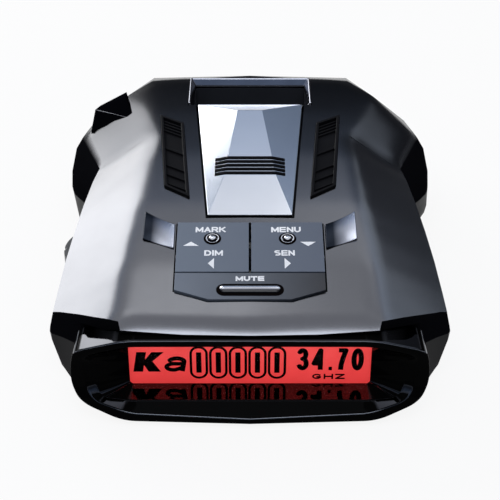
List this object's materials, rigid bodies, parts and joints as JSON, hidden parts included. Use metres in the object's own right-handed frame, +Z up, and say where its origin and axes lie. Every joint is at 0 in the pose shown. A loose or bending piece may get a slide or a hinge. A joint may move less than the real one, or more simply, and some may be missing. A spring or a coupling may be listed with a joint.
{
  "type": "radar detector",
  "caption": "Windshield radar detector with a hooded display, rocker and mute keys, a pivoting release button over a bracket slot, side vents, a volume rocker, a power socket and inner parts.",
  "frame": {"origin": "middle of the body's box, on the plane it rests on", "axes": "+X across the body to the right as its display is read, +Y from the display end to the windshield end, +Z up from the flat underside"},
  "size_m": [0.0924, 0.126, 0.0357],
  "materials": {
    "shell_upper": "fine-grained satin",
    "shell_lower": "fine-grained matte",
    "hood_black": "high gloss",
    "window_red": "clear tinted",
    "display_red": "lit panel",
    "carrier_white": "matte",
    "flex_amber": "gloss film",
    "button_silver": "satin silver paint",
    "grip_black": "matte",
    "steel": "plain",
    "chrome_trim": "mirror",
    "inner_black": "matte",
    "key_slate": "satin",
    "key_dark": "satin",
    "trim_gloss": "high gloss",
    "rocker_slate": "satin",
    "socket_black": "high gloss",
    "board_green": "solder mask",
    "membrane_grey": "matte",
    "speaker_frame": "satin",
    "pin_brass": "bright",
    "tin": "bright tin",
    "horn_cast": "as cast",
    "ceramic": "matte",
    "window_dark": "dark infrared filter",
    "sensor_black": "gloss",
    "label_silver": "satin foil"
  },
  "bodies": {
    "chassis": {"upper_shell": "shell_upper", "lower_shell": "shell_lower", "display_bezel": "hood_black", "display_window": "window_red", "display_panel": "display_red", "display_carrier": "carrier_white", "display_flex": "flex_amber", "release_pivot_pin": "steel", "release_spring": "steel", "mount_socket": "inner_black", "mount_slot_trim": "chrome_trim", "keypad_frame": "inner_black", "key_axle_left": "steel", "key_axle_right": "steel", "keypad_board": "board_green", "keypad_membrane": "membrane_grey", "key_trim_left": "trim_gloss", "key_trim_right": "trim_gloss", "vent_grille_left": "inner_black", "vent_grille_right": "inner_black", "speaker": "speaker_frame", "speaker_gasket": "grip_black", "volume_switch": "inner_black", "power_jack_housing": "socket_black", "power_pin": "pin_brass", "headphone_jack": "inner_black", "usb_port": "tin", "main_board": "board_green", "antenna_horn": "horn_cast", "rf_shield": "tin", "gps_antenna": "ceramic", "laser_window": "window_dark", "laser_sensor": "sensor_black", "case_screws": "steel", "keypad_screws": "steel", "label_plate": "label_silver"},
    "release": {"release_button": "button_silver", "button_grips": "grip_black"},
    "rocker_left": {"key_left": "key_slate", "key_nub_left": "chrome_trim"},
    "rocker_right": {"key_right": "key_slate", "key_nub_right": "chrome_trim"},
    "mute": {"key_mute": "key_dark", "mute_bar": "chrome_trim"},
    "volume": {"volume_rocker": "rocker_slate"}
  },
  "joints": [
    {"name": "release_press", "type": "hinge", "parent": "chassis", "child": "release", "pos_m": [0, -0.02143, 0.02675], "axis": [-1, 0, 0], "range_deg": [0, 2.5], "stiffness_Nm_per_rad": 2.5, "deforming": ["release_spring"]},
    {"name": "rocker_left_tilt", "type": "hinge", "parent": "chassis", "child": "rocker_left", "pos_m": [-0.0083, -0.03453, 0.02518], "axis": [1, 0, 0], "range_deg": [-2.2, 2.2], "stiffness_Nm_per_rad": 0.25},
    {"name": "rocker_right_tilt", "type": "hinge", "parent": "chassis", "child": "rocker_right", "pos_m": [0.0083, -0.03453, 0.02518], "axis": [1, 0, 0], "range_deg": [-2.2, 2.2], "stiffness_Nm_per_rad": 0.25},
    {"name": "mute_press", "type": "slide", "parent": "chassis", "child": "mute", "axis": [0, 0.2195, -0.9756], "range_m": [0, 0.0005], "stiffness_N_per_m": 3000},
    {"name": "volume_tilt", "type": "hinge", "parent": "chassis", "child": "volume", "pos_m": [-0.03946, -0.0174, 0.0146], "axis": [0, 0, 1], "range_deg": [-3, 3], "stiffness_Nm_per_rad": 0.1}
  ]
}
